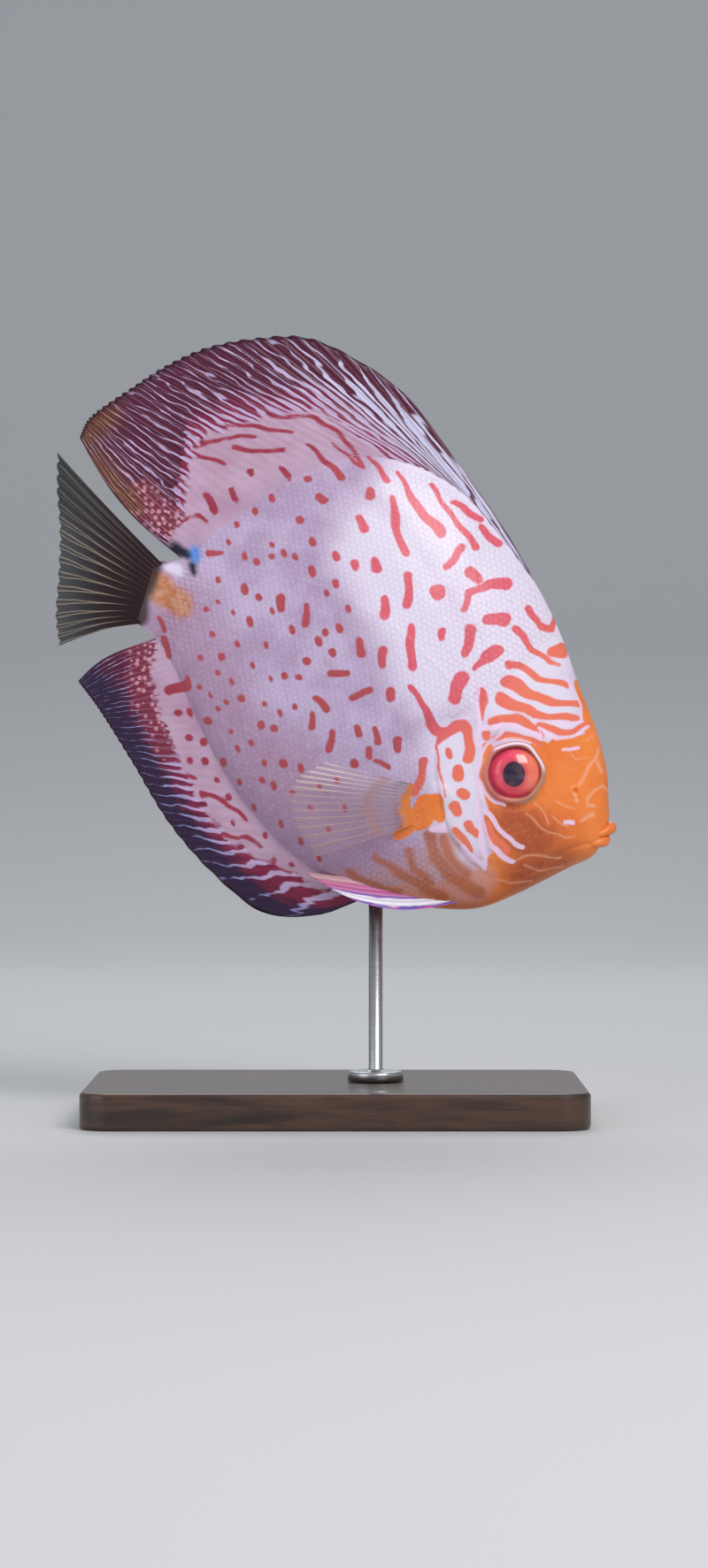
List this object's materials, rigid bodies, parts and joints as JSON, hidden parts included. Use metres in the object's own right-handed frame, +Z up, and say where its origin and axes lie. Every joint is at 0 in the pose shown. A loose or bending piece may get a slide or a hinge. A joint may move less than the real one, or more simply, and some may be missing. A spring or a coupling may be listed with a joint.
{
  "type": "discus fish display model",
  "caption": "Life-size still model of a spotted discus fish, swimming nose-down on a plain base and rod: a tall flat disc of a body with long back and belly fins.",
  "frame": {"origin": "on the floor, under the centre of the model's box: the middle of the stand base's underside", "axes": "+X the way the fish faces, +Z up, +Y to the fish's left; the fish is pitched 22 degrees nose-down about Y"},
  "size_m": [0.1406, 0.084, 0.1964],
  "materials": {
    "skin": "wet fish skin, pale lavender with red spots, orange face, fine scales",
    "eye": "clear cornea over a red iris and a dark pupil",
    "long_fins": "dark maroon webbing with pale lavender streaks between the rays",
    "tail_fin": "smoky see-through webbing with pale tan rays, blackish-brown at the root",
    "clear_fin": "clear webbing with fine rays from an orange root",
    "pelvic_fin": "white leading edge, violet and magenta webbing",
    "stand_wood": "dark stained wood, satin varnish",
    "stand_steel": "brushed steel rod and foot"
  },
  "bodies": {
    "root": {"head": "skin", "upper_jaw": "skin", "lower_jaw": "skin", "gill_cover_left": "skin", "gill_cover_right": "skin", "trunk": "skin", "caudal_peduncle": "skin", "eye_left": "eye", "eye_right": "eye", "dorsal_fin_spines": "long_fins", "dorsal_fin_rays": "long_fins", "anal_fin_spines": "long_fins", "anal_fin_rays": "long_fins", "caudal_fin": "tail_fin", "pectoral_fin_left": "clear_fin", "pectoral_fin_right": "clear_fin", "pelvic_fin_left": "pelvic_fin", "pelvic_fin_right": "pelvic_fin", "stand_base": "stand_wood", "stand_rod": "stand_steel"}
  },
  "joints": []
}
